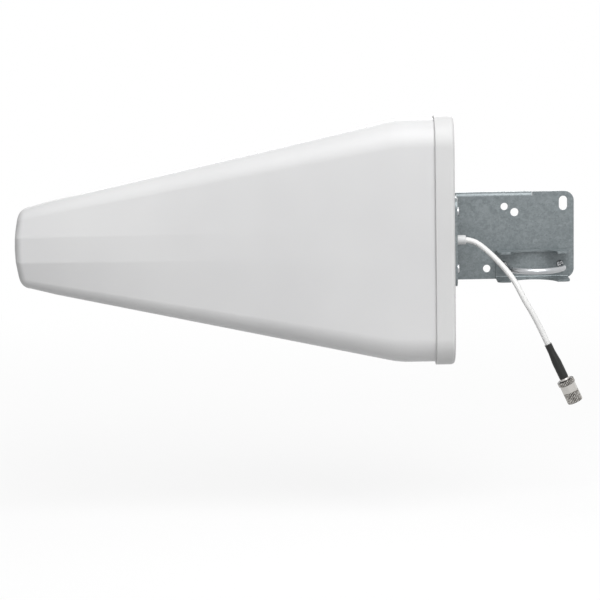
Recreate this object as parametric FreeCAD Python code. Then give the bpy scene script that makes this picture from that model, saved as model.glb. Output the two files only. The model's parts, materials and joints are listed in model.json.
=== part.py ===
import FreeCAD, Part
import math
import os

# Panel-type log-periodic antenna on a steel mast bracket. Millimetres, +Z up.
# Origin: centre of the mast clamp, in the plane of the U-bolt. The antenna points along -X.

V = FreeCAD.Vector

# Mast clamp
mast_radius = 24.15
bow_clearance = 0.1
rod_radius = 3.0
leg_spacing = 58.0
leg_hole_clearance = 0.3
saddle_past_leg = 8.0
saddle_height = 31.0
saddle_depth = 25.9
saddle_mast_gap = 3.45
saddle_corner = 5.0
saddle_sheet = 2.3
saddle_bend_inside = 1.5
leg_end_past_plate = 20.0
washer_thickness = 1.6
washer_radius = 6.0
spring_washer_thickness = 1.5
spring_washer_radius = 5.4
spring_washer_gap = 1.2
nut_across_flats = 10.0
nut_height = 5.2
nut_bevel = 0.6
leg_chamfer = 0.8
bolt_fit_clearance = 0.05

# Bracket sheet
sheet = 2.5
bend_inside = 2.0
plate_right = 43.5
plate_height = 90.0
plate_corner = 10.0
flange_depth = 60.4
flange_corner = 11.0
lip_depth = 10.0
lip_start_x = -77.0
lip_relief = 0.5
lip_end_x = 0.5
relief_from_flange = 0.5
relief_width = 3.5
relief_height = 11.0
relief_below_top = 5.0
upper_hole_radius = 3.75
upper_hole_rise = 60.0
upper_hole_x = -28.0
spare_hole_radius = 4.2
spare_hole_x = -17.5
spare_hole_rise = 54.0
lower_hole_radius = 3.85
lower_hole_x = -46.3
lower_hole_drop = 4.0
slot_x = 32.5
slot_bottom_rise = 55.3
slot_length = 14.7
slot_width = 8.6

# Radome and rear cap
axis_z = 30.0
cap_rear_x = -82.5
cap_depth = 19.5
cap_half_height = 127.5
cap_half_thickness = 33.0
cap_corner = 31.0
cap_wall = 3.0
cap_back = 3.0
cap_edge_radius = 4.0
cap_skirt_clearance = 0.25
antenna_length = 445.0
knee_from_rear = 56.5
tip_half_height = 39.3
tip_half_thickness = 24.5
tip_shoulder = 20.5
tip_corner = 15.0
tip_strip = 12.7
base_shoulder_drop = 0.4
base_strip = 15.0
radome_wall = 2.5
nose_bow_radius = 130.0
nose_edge_radius = 8.0
gasket_thickness = 1.5
gasket_width = 4.0

# Cap fixings
insert_rise = 29.0
insert_radius = 3.5
insert_depth = 9.0
boss_wall = 2.5
screw_radius = 2.5
screw_head_radius = 4.5
screw_head_height = 2.7
screw_crown = 1.35
screw_reach = 7.0
screw_washer_thickness = 1.0
screw_washer_radius = 5.0
screw_hole_clearance = 0.3
recess_depth = 1.4
recess_half_width = 0.6
recess_half_length = 2.2

# Element array
boom_side = 10.0
boom_bore = 6.4
boom_gap = 3.0
boom_front_setback = 8.0
boom_rear_setback = 24.0
rod_stations = 11
rear_rod_setback = 40.0
front_rod_setback = 7.1
rod_tip_clearance = 9.5
element_radius = 2.5
spigot_radius = 1.5
spigot_length = 1.6
element_fit = 0.02
spacer_length = 12.0
spacer_wall = 3.0
short_length = 10.0
strap_thickness = 0.8
strap_width = 6.0
support_fit = 0.3
nose_block_length = 7.0
nose_block_overhang = 3.0
nose_block_half_height = 12.0
nose_block_chamfer = 5.0
near_boom_setback = 3.0
coax_pin_radius = 0.7
coax_bend_start = 7.0
coax_bend_end = 19.0

# Gland and cable
cable_radius = 2.9
coax_fit = 0.1
gland_radius = 4.8
gland_length = 10.2
gland_neck_radius = 3.9
gland_nut_thickness = 2.4
gland_nut_radius = 6.5
gland_hole_clearance = 0.15
gland_rim_radius = 1.0

# Route of the cable, from the gland's face to the crimp ferrule, points chosen by hand
cable_route = [
    (-69.8, 0.0, 30.0),
    (-63.8, 0.0, 30.0),
    (-57.5, -0.7, 28.3),
    (-49.8, -3.0, 23.4),
    (-41.1, -11.6, 12.3),
    (-30.8, -22.0, 1.0),
    (-21.7, -30.2, -11.5),
    (-14.1, -34.5, -26.4),
    (-4.8, -35.5, -43.3),
    (5.45, -35.5, -64.13),
    (17.3, -35.5, -89.5),
]

# Plug, distances measured along its own axis from the end of the cable
shrink_back = 18.5
shrink_front = 20.0
shrink_wall = 0.75
shrink_fit = 0.05
ferrule_length = 17.0
ferrule_radius = 3.9
neck_radius = 3.0
neck_length = 20.0
shoulder_radius = 5.8
shoulder_length = 9.0
barrel_radius = 4.9
barrel_length = 12.0
socket_radius = 4.2
socket_floor = 24.0
insulator_length = 10.0
insulator_fit = 0.02
pin_radius = 0.65
pin_length = 14.0
plug_gasket_length = 1.2
nut_start = 22.4
nut_total = 24.6
nut_back_length = 5.0
nut_back_radius = 8.8
nut_radius = 8.0
nut_flat_length = 8.0
nut_flats_across = 15.2
nut_wall_behind_ring = 4.1
nut_thread_radius = 6.3
nut_running_clearance = 0.06
knurl_ridges = 30
knurl_depth = 0.5
ring_width = 0.9
ring_gap = 0.1
ring_split = 1.0
nut_chamfer = 0.6
shoulder_chamfer = 1.0
shrink_cone_start = 9.25
shrink_step = 2.0
ring_depth = 0.5
ring_stand = 0.8

# Making of the solids
overcut = 1.0
touch = 0.01
arc_share = 0.45
heal_tolerance = 1e-4
heal_largest = 1e-3


# Worked out from the sizes above
plate_front_y = mast_radius + saddle_mast_gap + saddle_sheet
plate_back_y = plate_front_y + sheet
plate_bottom_z = axis_z - plate_height / 2
plate_top_z = axis_z + plate_height / 2
flange_near_y = plate_back_y - flange_depth
flange_face_x = cap_rear_x + sheet
bend_outside = bend_inside + sheet
cap_front_x = cap_rear_x - cap_depth
cap_floor_x = cap_rear_x - cap_back
tip_x = cap_rear_x - antenna_length
knee_x = cap_rear_x - knee_from_rear
boom_front_x = tip_x + boom_front_setback
boom_rear_x = cap_floor_x - boom_rear_setback
longest_rod_x = boom_rear_x - rear_rod_setback
base_half_height = cap_half_height - cap_wall - cap_skirt_clearance
base_half_thickness = cap_half_thickness - cap_wall - cap_skirt_clearance
base_corner = cap_corner - cap_wall - cap_skirt_clearance
radome_rim_x = cap_floor_x - gasket_thickness
taper = math.atan((base_half_height - tip_half_height) / (knee_x - tip_x))
tip_inside = tip_half_height - radome_wall / math.cos(taper)
array_apex_x = tip_x - (tip_inside - rod_tip_clearance) / math.tan(taper)
array_length = longest_rod_x - array_apex_x
shortest_rod_x = boom_front_x + front_rod_setback
rod_ratio = ((shortest_rod_x - array_apex_x) / array_length) ** (1 / (rod_stations - 1))
boom_y = (boom_gap + boom_side) / 2
half_boom = boom_side / 2
leg_x = leg_spacing / 2
saddle_width = leg_spacing + 2 * saddle_past_leg
bow_centre_y = leg_x - rod_radius - mast_radius - bow_clearance
gland_face_x = flange_face_x + gland_length
screw_places = [V(0, 0, axis_z - insert_rise), V(0, 0, axis_z + insert_rise)]
diagonal = math.sqrt(0.5)


# Basic shapes


def block(x0, x1, y0, y1, z0, z1):
    return Part.makeBox(x1 - x0, y1 - y0, z1 - z0, V(x0, y0, z0))


def rod(radius, start, end):
    axis = end - start
    return Part.makeCylinder(radius, axis.Length, start, axis)


def tube(outer, inner, start, end):
    return rod(outer, start, end).cut(rod(inner, start, end))


def outline(points, bulges=None):
    """Closed wire through the points; a bulge is the middle point of an arc to the next point."""
    bulges = bulges or {}
    edges = []
    for i, point in enumerate(points):
        nxt = points[(i + 1) % len(points)]
        if i in bulges:
            edges.append(Part.Arc(point, bulges[i], nxt).toShape())
        else:
            edges.append(Part.makeLine(point, nxt))
    return Part.Wire(edges)


def turned(profile, start, axis):
    """Solid of revolution: profile holds (radius, distance along the axis) pairs."""
    points = [V(r, 0, s) for r, s in profile]
    face = Part.Face(outline(points))
    solid = face.revolve(V(0, 0, 0), V(0, 0, 1), 360)
    return along(solid, start, axis)


def along(shape, start, axis):
    """Moves a shape made on +Z so that it starts at a point and follows an axis."""
    shape.Placement = FreeCAD.Placement(start, FreeCAD.Rotation(V(0, 0, 1), axis))
    return shape


def hexagon(across_flats, height):
    corner = across_flats / math.sqrt(3)
    points = [V(corner * math.cos(math.radians(60 * i)), corner * math.sin(math.radians(60 * i)), 0)
              for i in range(6)]
    return Part.Face(outline(points)).extrude(V(0, 0, height))


def edges_where(shape, test):
    """Edges whose bounding box passes the test."""
    return [edge for edge in shape.Edges if test(edge.BoundBox)]


def save(name, shape):
    if isinstance(shape, list):
        shape = Part.makeCompound(shape)
    shape.exportStep("parts/" + name + ".step")
    volume = sum(solid.Volume for solid in shape.Solids)
    print(name, len(shape.Solids), "solids", round(volume / 1000, 3), "cm3", shape.isValid())


def rounded_route(points):
    """Straight runs joined by tangent arcs, each as large as its two runs allow."""
    points = [V(*p) for p in points]
    edges = []
    radii = []
    last = points[0]
    for before, corner, after in zip(points, points[1:], points[2:]):
        back = before - corner
        forth = after - corner
        reach = arc_share * min(back.Length, forth.Length)
        half_turn = (math.pi - back.getAngle(forth)) / 2
        radius = reach / math.tan(half_turn)
        radii.append(radius)
        start = corner + back.normalize() * reach
        end = corner + forth.normalize() * reach
        towards_centre = (back + forth).normalize()
        middle = corner + towards_centre * (radius / math.cos(half_turn) - radius)
        edges.append(Part.LineSegment(last, start).toShape())
        edges.append(Part.Arc(start, middle, end).toShape())
        last = end
    edges.append(Part.LineSegment(last, points[-1]).toShape())
    return Part.Wire(edges), radii


def swept(name, points, radius):
    route, radii = rounded_route(points)
    start = V(*points[0])
    circle = Part.Wire(Part.makeCircle(radius, start, V(*points[1]) - start))
    solid = route.makePipeShell([circle], True, False)
    expected = math.pi * radius ** 2 * route.Length
    print(name, "length", round(route.Length, 1), "radii", [round(r, 1) for r in radii],
          "volume ratio", round(solid.Volume / expected, 4))
    return solid


# Radome shapes, all across the X axis


def panel_section(x, half_height, half_thickness, shoulder, strip, corner):
    """Closed section of the panel: flat middle strips, sloping facets and rounded corners."""
    slope = V(0, shoulder - half_thickness, half_height - strip)
    turn = V(0, -1, 0).getAngle(slope)
    tangent = corner * math.tan(turn / 2)
    slope_unit = V(slope).normalize()
    facet_end = V(x, shoulder, half_height) - slope_unit * tangent
    top_start = V(x, shoulder - tangent, half_height)
    centre = V(x, shoulder - tangent, half_height - corner)
    half_way = (facet_end - centre).normalize() + (top_start - centre).normalize()
    middle = centre + half_way.normalize() * corner
    quarter = [V(x, half_thickness, strip), facet_end, middle, top_start]

    def mirrored(point, side, up):
        return V(point.x, point.y * side, axis_z + point.z * up)

    points = []
    bulges = {}
    for side, up in ((1, 1), (-1, 1), (-1, -1), (1, -1)):
        corner_points = [mirrored(p, side, up) for p in quarter]
        if side * up < 0:
            corner_points.reverse()
            bulges[len(points)] = corner_points[1]
            points += [corner_points[0], corner_points[2], corner_points[3]]
        else:
            bulges[len(points) + 1] = corner_points[2]
            points += [corner_points[0], corner_points[1], corner_points[3]]
    return outline(points, bulges)


def panel_body(inset, front_inset, rear_x):
    """Radome solid, drawn in by an inset on its sides and at its nose, back to rear_x."""
    slope = math.tan(taper)
    front_x = tip_x + front_inset
    front_height = tip_half_height + slope * front_inset - inset / math.cos(taper)
    thickness_slope = (base_half_thickness - tip_half_thickness) / (knee_x - tip_x)
    front_thickness = tip_half_thickness + thickness_slope * front_inset - inset
    front_shoulder = tip_shoulder + thickness_slope * front_inset - inset
    front = panel_section(front_x, front_height, front_thickness, front_shoulder, tip_strip,
                          tip_corner - inset)
    rear_size = (base_half_height - inset, base_half_thickness - inset,
                 base_half_thickness - base_shoulder_drop - inset, base_strip, base_corner - inset)
    knee = panel_section(knee_x, *rear_size)
    rim = panel_section(rear_x, *rear_size)
    wedge = Part.makeLoft([front, knee], True, True)
    skirt = Part.makeLoft([knee, rim], True, True)
    body = wedge.fuse(skirt)
    return body.common(nose_outline(inset, front_inset, rear_x))


def nose_outline(inset, front_inset, rear_x):
    """Side view of the panel, open at its sides, with the bowed front of the nose."""
    front_x = tip_x + front_inset
    bow = nose_bow_radius - front_inset
    reach = 2 * tip_half_height
    side = 2 * base_half_height
    sag = bow - math.sqrt(bow ** 2 - reach ** 2)
    points = [V(front_x + sag, -side, -reach), V(front_x + sag, -side, reach),
              V(front_x + sag, -side, side), V(rear_x, -side, side),
              V(rear_x, -side, -side), V(front_x + sag, -side, -side)]
    points = [p + V(0, 0, axis_z) for p in points]
    wire = outline(points, {0: V(front_x, -side, axis_z)})
    return Part.Face(wire).extrude(V(0, 2 * side, 0))


def nose_edges(body):
    """Edges round the nose face and its slanted shoulders."""
    return edges_where(body, lambda box: box.XMax < tip_x + 2 * tip_strip)


def radome():
    outer = rounded_nose(panel_body(0, 0, radome_rim_x), nose_edge_radius)
    hollow = panel_body(radome_wall, radome_wall, radome_rim_x + overcut)
    return outer.cut(rounded_nose(hollow, nose_edge_radius - radome_wall))


def rounded_nose(body, radius):
    solid = body.Solids[0]
    solid = solid.makeFillet(radius, nose_edges(solid)).Solids[0]
    solid.fix(heal_tolerance, heal_tolerance, heal_largest)
    return solid


def cap_profile(x0, x1, inset):
    """Rounded rectangle across X between two stations, drawn in by an inset."""
    half_y = cap_half_thickness - inset
    half_z = cap_half_height - inset
    slab = block(x0, x1, -half_y, half_y, axis_z - half_z, axis_z + half_z)
    corners = edges_where(slab, lambda box: abs(box.XLength - (x1 - x0)) < touch)
    return slab.makeFillet(cap_corner - inset, corners)


def rear_cap():
    cap = cap_profile(cap_front_x, cap_rear_x, 0)
    rim = edges_where(cap, lambda box: box.XMin > cap_rear_x - touch)
    cap = cap.makeFillet(cap_edge_radius, rim)
    cap = cap.cut(cap_profile(cap_front_x - overcut, cap_floor_x, cap_wall))
    inward = V(-1, 0, 0)
    for place in screw_places:
        start = V(cap_rear_x, place.y, place.z)
        boss = rod(insert_radius + boss_wall, start + inward * cap_back, start + inward * insert_depth)
        bore = rod(insert_radius + bolt_fit_clearance, start, start + inward * insert_depth)
        cap = cap.fuse(boss).cut(bore)
    neck = gland_neck_radius + gland_hole_clearance
    axis_start = V(cap_rear_x, 0, axis_z)
    return cap.cut(rod(neck, axis_start, axis_start + inward * 2 * cap_back))


def cap_gasket():
    around = cap_wall + cap_skirt_clearance
    ring = cap_profile(radome_rim_x, cap_floor_x, around)
    middle = cap_profile(radome_rim_x - overcut, cap_floor_x + overcut, around + gasket_width)
    return ring.cut(middle)


def threaded_inserts():
    bore = screw_radius + bolt_fit_clearance
    pieces = []
    for place in screw_places:
        start = V(cap_rear_x, place.y, place.z)
        pieces.append(tube(insert_radius, bore, start, start - V(insert_depth, 0, 0)))
    return pieces


# Element array


def station_x(i):
    """Place of a rod pair: each distance from the apex is the last one times the ratio."""
    return array_apex_x + array_length * rod_ratio ** i


def rod_direction(side, i):
    """Rods leave the two booms up and down by turns."""
    return side if i % 2 == 0 else -side


def boom(side, front_x):
    y = side * boom_y
    low = axis_z - half_boom
    high = axis_z + half_boom
    body = block(front_x, boom_rear_x, y - half_boom, y + half_boom, low, high)
    bore = rod(boom_bore / 2, V(front_x, y, axis_z), V(boom_rear_x, y, axis_z))
    body = body.cut(bore)
    for i in range(rod_stations):
        up = rod_direction(side, i)
        face = V(station_x(i), y, axis_z + up * half_boom)
        body = body.cut(rod(spigot_radius + element_fit, face, face - V(0, 0, up * half_boom)))
    return body


def element(side, i):
    """One dipole half: a rod that seats on its boom, with a spigot in the boom's hole."""
    up = V(0, 0, rod_direction(side, i))
    centre = V(station_x(i), side * boom_y, axis_z)
    seat = centre + up * half_boom
    tip = centre + up * ((station_x(i) - array_apex_x) * math.tan(taper))
    return rod(element_radius, seat, tip).fuse(rod(spigot_radius, seat, seat - up * spigot_length))


def boom_channels(x0, x1):
    """Space that the two booms take between two stations."""
    low = axis_z - half_boom
    high = axis_z + half_boom
    far_side = boom_y + half_boom
    gap_side = boom_y - half_boom
    return block(x0, x1, -far_side, -gap_side, low, high).fuse(block(x0, x1, gap_side, far_side, low, high))


def spacer(i):
    """Moulded clip round both booms, half way between two stations."""
    middle = (station_x(i) + station_x(i + 1)) / 2
    x0 = middle - spacer_length / 2
    x1 = middle + spacer_length / 2
    side = boom_y + half_boom + spacer_wall
    up = half_boom + spacer_wall
    body = block(x0, x1, -side, side, axis_z - up, axis_z + up)
    return body.cut(boom_channels(x0 - overcut, x1 + overcut))


def shorting_block():
    half_gap = boom_gap / 2
    return block(boom_rear_x - short_length, boom_rear_x, -half_gap, half_gap,
                 axis_z - half_boom, axis_z + half_boom)


def feed_strap():
    """Strip that joins the coax pin to the far boom's front end."""
    reach = boom_y + strap_width / 2
    strip = block(boom_front_x - strap_thickness, boom_front_x, -reach, reach,
                  axis_z - strap_width / 2, axis_z + strap_width / 2)
    pin = V(boom_front_x, -boom_y, axis_z)
    through = V(strap_thickness + overcut, 0, 0)
    return strip.cut(rod(coax_pin_radius + element_fit, pin - through, pin + through))


def inner_coax():
    """Cable from the gland through the near boom, with its bare pin in the feed strap."""
    near_boom_front = boom_front_x + near_boom_setback
    points = [(gland_face_x, 0, axis_z), (cap_floor_x - coax_bend_start, 0, axis_z),
              (cap_floor_x - coax_bend_end, -boom_y, axis_z), (near_boom_front, -boom_y, axis_z)]
    lead = swept("inner_coax", points, cable_radius)
    pin_start = V(near_boom_front, -boom_y, axis_z)
    pin_end = V(boom_front_x - strap_thickness, -boom_y, axis_z)
    return lead.fuse(rod(coax_pin_radius, pin_start, pin_end))


def nose_support():
    """Block that centres the boom ends between the radome's side walls."""
    x0 = boom_front_x - nose_block_overhang
    x1 = x0 + nose_block_length
    side = tip_half_thickness - radome_wall - support_fit
    high = nose_block_half_height
    body = block(x0, x1, -side, side, axis_z - high, axis_z + high)
    front = edges_where(body, lambda box: box.XMax < x0 + touch and box.ZLength > high)
    body = body.makeChamfer(nose_block_chamfer, front)
    far_side = boom_y + half_boom
    return body.cut(block(x0 - overcut, x1 + overcut, -far_side, far_side,
                          axis_z - half_boom, axis_z + half_boom))


def rear_support():
    """Socket that carries the boom ends on the rear cap, open inside for the coax."""
    inside = boom_y + half_boom
    outside = inside + spacer_wall
    sleeve_up = half_boom + spacer_wall
    chamber_up = gland_nut_radius + support_fit
    box_up = chamber_up + spacer_wall
    front_x = boom_rear_x - short_length
    stop_x = boom_rear_x + spacer_wall
    sleeve = block(front_x, boom_rear_x, -outside, outside, axis_z - sleeve_up, axis_z + sleeve_up)
    channel = block(front_x - overcut, boom_rear_x + overcut, -inside, inside,
                    axis_z - half_boom, axis_z + half_boom)
    box = block(boom_rear_x, cap_floor_x, -outside, outside, axis_z - box_up, axis_z + box_up)
    chamber = block(stop_x, cap_floor_x + overcut, -inside, inside,
                    axis_z - chamber_up, axis_z + chamber_up)
    way = boom_y + cable_radius + support_fit
    lead_way = block(boom_rear_x - overcut, stop_x + overcut, -way, way,
                     axis_z - cable_radius - support_fit, axis_z + cable_radius + support_fit)
    return sleeve.cut(channel).fuse(box.cut(chamber).cut(lead_way))


# Bracket and its screws


def bracket():
    """Sheet folded once: a flange on the rear cap and a plate beside the mast."""
    body = folded_sheet()
    body = body.makeFillet(plate_corner, edges_where(body, on_plate_corner))
    body = body.makeFillet(flange_corner, edges_where(body, on_flange_corner))
    front = plate_front_y - overcut
    back = plate_back_y + overcut
    body = body.cut(block(lip_start_x - lip_relief, lip_end_x + lip_relief, front, back,
                          plate_top_z - bend_outside, plate_top_z + overcut))
    body = body.fuse(top_lip())
    relief_x = flange_face_x + relief_from_flange
    relief_top = plate_top_z - relief_below_top
    body = body.cut(block(relief_x, relief_x + relief_width, plate_back_y - bend_outside, back,
                          relief_top - relief_height, relief_top))
    for x, rise, radius in plate_holes():
        body = body.cut(rod(radius, V(x, front, rise), V(x, back, rise)))
    body = body.cut(upright_slot(front, back))
    for place in screw_places:
        body = body.cut(flange_hole(screw_radius + screw_hole_clearance, place))
    body = body.cut(flange_hole(gland_neck_radius + gland_hole_clearance, V(0, 0, axis_z)))
    return body.removeSplitter()


def folded_sheet():
    inner_y = plate_back_y - bend_outside
    bend_x = cap_rear_x + bend_outside
    z = plate_bottom_z
    centre = V(bend_x, inner_y, z)
    points = [V(cap_rear_x, flange_near_y, z), V(cap_rear_x, inner_y, z), V(bend_x, plate_back_y, z),
              V(plate_right, plate_back_y, z), V(plate_right, plate_front_y, z),
              V(bend_x, plate_front_y, z),
              V(flange_face_x, inner_y, z), V(flange_face_x, flange_near_y, z)]
    outer_arc = centre + V(-bend_outside, bend_outside, 0) * diagonal
    inner_arc = centre + V(-bend_inside, bend_inside, 0) * diagonal
    return Part.Face(outline(points, {1: outer_arc, 5: inner_arc})).extrude(V(0, 0, plate_height))


def on_plate_corner(box):
    across = abs(box.YLength - sheet) < touch and box.ZLength < touch
    return across and box.XMin > plate_right - touch


def on_flange_corner(box):
    across = abs(box.XLength - sheet) < touch and box.ZLength < touch
    return across and box.YMax < flange_near_y + touch


def flange_hole(radius, place):
    start = V(cap_rear_x - overcut, place.y, place.z)
    return rod(radius, start, V(flange_face_x + overcut, place.y, place.z))


def top_lip():
    """Edge of the plate that is folded back to stiffen it."""
    x = lip_start_x
    lip_end_y = plate_front_y + lip_depth
    centre = V(x, plate_front_y + bend_outside, plate_top_z - bend_outside)
    points = [V(x, plate_front_y, centre.z), V(x, centre.y, plate_top_z),
              V(x, lip_end_y, plate_top_z), V(x, lip_end_y, plate_top_z - sheet),
              V(x, centre.y, plate_top_z - sheet), V(x, plate_back_y, centre.z)]
    outer_arc = centre + V(0, -bend_outside, bend_outside) * diagonal
    inner_arc = centre + V(0, -bend_inside, bend_inside) * diagonal
    face = Part.Face(outline(points, {0: outer_arc, 4: inner_arc}))
    return face.extrude(V(lip_end_x - lip_start_x, 0, 0))


def plate_holes():
    """Round holes of the plate as (x, z, radius)."""
    leg_hole = rod_radius + leg_hole_clearance
    return [(-leg_x, 0, leg_hole), (leg_x, 0, leg_hole),
            (upper_hole_x, upper_hole_rise, upper_hole_radius),
            (spare_hole_x, spare_hole_rise, spare_hole_radius),
            (lower_hole_x, -lower_hole_drop, lower_hole_radius)]


def upright_slot(front, back):
    half = slot_width / 2
    low_z = slot_bottom_rise + half
    high_z = slot_bottom_rise + slot_length - half
    body = block(slot_x - half, slot_x + half, front, back, low_z, high_z)
    for z in (low_z, high_z):
        body = body.fuse(rod(half, V(slot_x, front, z), V(slot_x, back, z)))
    return body


def bracket_screws():
    """Pan-head screws with a cross recess, from the flange into the cap's inserts."""
    wide = recess_half_width
    long = recess_half_length
    pieces = []
    for place in screw_places:
        seat = V(flange_face_x + screw_washer_thickness, place.y, place.z)
        top = seat + V(screw_head_height, 0, 0)
        head = rod(screw_head_radius, seat, top)
        head = head.makeFillet(screw_crown, edges_where(head, lambda box: box.XMin > top.x - touch))
        shank = rod(screw_radius, seat, V(cap_rear_x - screw_reach, place.y, place.z))
        screw = head.fuse(shank)
        for half_y, half_z in ((wide, long), (long, wide)):
            screw = screw.cut(block(top.x - recess_depth, top.x + overcut,
                                    place.y - half_y, place.y + half_y,
                                    place.z - half_z, place.z + half_z))
        pieces.append(screw)
    return pieces


def bracket_washers():
    pieces = []
    for place in screw_places:
        start = V(flange_face_x, place.y, place.z)
        pieces.append(tube(screw_washer_radius, screw_radius + screw_hole_clearance, start,
                           start + V(screw_washer_thickness, 0, 0)))
    return pieces


# Mast clamp


def saddle():
    """Channel whose flanges are notched to the mast and whose back lies on the plate."""
    body = saddle_channel()
    near_y = plate_front_y - saddle_depth

    def on_free_corner(box):
        return abs(box.ZLength - saddle_sheet) < touch and box.YMax < near_y + touch

    body = body.makeFillet(saddle_corner, edges_where(body, on_free_corner))
    body = body.cut(rod(mast_radius, V(0, 0, -saddle_height), V(0, 0, saddle_height)))
    for x in (-leg_x, leg_x):
        start = V(x, plate_front_y - saddle_sheet - overcut, 0)
        body = body.cut(rod(rod_radius + leg_hole_clearance, start, V(x, plate_front_y + overcut, 0)))
    return body


def saddle_channel():
    near_y = plate_front_y - saddle_depth
    back_y = plate_front_y
    inner_y = back_y - saddle_sheet
    outside = saddle_bend_inside + saddle_sheet
    bend_y = back_y - outside
    up = saddle_height / 2
    inner_up = up - saddle_sheet
    bend_up = up - outside
    x = -saddle_width / 2
    points = [V(x, near_y, up), V(x, bend_y, up), V(x, back_y, bend_up), V(x, back_y, -bend_up),
              V(x, bend_y, -up), V(x, near_y, -up), V(x, near_y, -inner_up), V(x, bend_y, -inner_up),
              V(x, inner_y, -bend_up), V(x, inner_y, bend_up), V(x, bend_y, inner_up),
              V(x, near_y, inner_up)]
    upper = V(x, bend_y, bend_up)
    lower = V(x, bend_y, -bend_up)
    arcs = {1: upper + V(0, outside, outside) * diagonal,
            3: lower + V(0, outside, -outside) * diagonal,
            7: lower + V(0, saddle_bend_inside, -saddle_bend_inside) * diagonal,
            9: upper + V(0, saddle_bend_inside, saddle_bend_inside) * diagonal}
    return Part.Face(outline(points, arcs)).extrude(V(saddle_width, 0, 0))


def u_bolt():
    end_y = plate_back_y + leg_end_past_plate
    centre = V(0, bow_centre_y, 0)
    circle = Part.Face(Part.Wire(Part.makeCircle(rod_radius, V(leg_x, bow_centre_y, 0), V(0, 1, 0))))
    body = circle.revolve(centre, V(0, 0, 1), -180)
    for side in (-leg_x, leg_x):
        leg = rod(rod_radius, V(side, bow_centre_y, 0), V(side, end_y, 0))
        end = edges_where(leg, lambda box: box.YMin > end_y - touch)
        body = body.fuse(leg.makeChamfer(leg_chamfer, end))
    return body.removeSplitter()


def clamp_hardware():
    """Plain washer, split spring washer and nut on each leg of the U-bolt."""
    washers = []
    springs = []
    nuts = []
    washer_back = plate_back_y + washer_thickness
    spring_back = washer_back + spring_washer_thickness
    half_gap = spring_washer_gap / 2
    for x in (-leg_x, leg_x):
        on_plate = V(x, plate_back_y, 0)
        on_washer = V(x, washer_back, 0)
        on_spring = V(x, spring_back, 0)
        washers.append(tube(washer_radius, rod_radius + leg_hole_clearance, on_plate, on_washer))
        spring = tube(spring_washer_radius, rod_radius + bolt_fit_clearance, on_washer, on_spring)
        gap = block(x - half_gap, x + half_gap, washer_back - overcut, spring_back + overcut,
                    0, spring_washer_radius + overcut)
        springs.append(spring.cut(gap))
        nuts.append(clamp_nut(on_spring, V(0, 1, 0)))
    return washers, springs, nuts


def clamp_nut(start, axis):
    corner = nut_across_flats / math.sqrt(3)
    face = corner - nut_bevel
    turned_body = turned([(0, 0), (face, 0), (corner, nut_bevel), (corner, nut_height - nut_bevel),
                          (face, nut_height), (0, nut_height)], V(0, 0, 0), V(0, 0, 1))
    nut = hexagon(nut_across_flats, nut_height).common(turned_body)
    bore = rod_radius + bolt_fit_clearance
    nut = nut.cut(rod(bore, V(0, 0, -overcut), V(0, 0, nut_height + overcut)))
    return along(nut, start, axis)


# Gland, cable and plug


def cable_gland():
    head_start = V(flange_face_x, 0, axis_z)
    head = rod(gland_radius, head_start, V(gland_face_x, 0, axis_z))
    rim = edges_where(head, lambda box: box.XMin > gland_face_x - touch)
    head = head.makeFillet(gland_rim_radius, rim)
    neck_end = V(cap_floor_x - gland_nut_thickness, 0, axis_z)
    body = head.fuse(rod(gland_neck_radius, neck_end, head_start))
    past = V(overcut, 0, 0)
    return body.cut(rod(cable_radius + coax_fit, neck_end - past, V(gland_face_x, 0, axis_z) + past))


def gland_nut():
    flats = gland_nut_radius * math.sqrt(3)
    nut = hexagon(flats, gland_nut_thickness)
    bore = gland_neck_radius + bolt_fit_clearance
    nut = nut.cut(rod(bore, V(0, 0, -overcut), V(0, 0, gland_nut_thickness + overcut)))
    return along(nut, V(cap_floor_x, 0, axis_z), V(-1, 0, 0))


plug_origin = V(*cable_route[-1])
plug_axis = (plug_origin - V(*cable_route[-2])).normalize()


def on_plug(profile):
    return turned(profile, plug_origin, plug_axis)


def heat_shrink():
    """Sleeve over the cable's end and the ferrule, with a cone between their two sizes."""
    bore = cable_radius + shrink_fit
    wide_bore = ferrule_radius + shrink_fit
    outside = bore + shrink_wall
    wide_outside = wide_bore + shrink_wall
    return on_plug([(bore, -shrink_back), (outside, -shrink_back), (outside, -shrink_cone_start),
                    (wide_outside, shrink_step), (wide_outside, shrink_front), (wide_bore, shrink_front),
                    (wide_bore, 0), (bore, 0)])


def crimp_ferrule():
    inside = neck_radius + shrink_fit
    return on_plug([(inside, 0), (ferrule_radius, 0), (ferrule_radius, ferrule_length),
                    (inside, ferrule_length)])


def plug_body():
    shoulder_end = neck_length + shoulder_length
    barrel_end = shoulder_end + barrel_length
    groove_start = nut_start + nut_wall_behind_ring + ring_gap
    groove_end = groove_start + ring_width + 2 * ring_gap
    groove = shoulder_radius - ring_depth
    return on_plug([(0, 0), (neck_radius, 0), (neck_radius, neck_length),
                    (shoulder_radius - shoulder_chamfer, neck_length),
                    (shoulder_radius, neck_length + shoulder_chamfer),
                    (shoulder_radius, groove_start), (groove, groove_start),
                    (groove, groove_end), (shoulder_radius, groove_end), (shoulder_radius, shoulder_end),
                    (barrel_radius, shoulder_end), (barrel_radius, barrel_end), (socket_radius, barrel_end),
                    (socket_radius, socket_floor), (0, socket_floor)])


def plug_insulator():
    outside = socket_radius - insulator_fit
    inside = pin_radius + insulator_fit
    end = socket_floor + insulator_length
    return on_plug([(inside, socket_floor), (outside, socket_floor), (outside, end), (inside, end)])


def plug_pin():
    end = socket_floor + pin_length
    return on_plug([(0, socket_floor), (pin_radius, socket_floor), (pin_radius, end - pin_radius),
                    (pin_radius / 2, end), (0, end)])


def plug_gasket():
    start = neck_length + shoulder_length
    end = start + plug_gasket_length
    inside = barrel_radius + insulator_fit
    return on_plug([(inside, start), (shoulder_radius, start), (shoulder_radius, end), (inside, end)])


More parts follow.
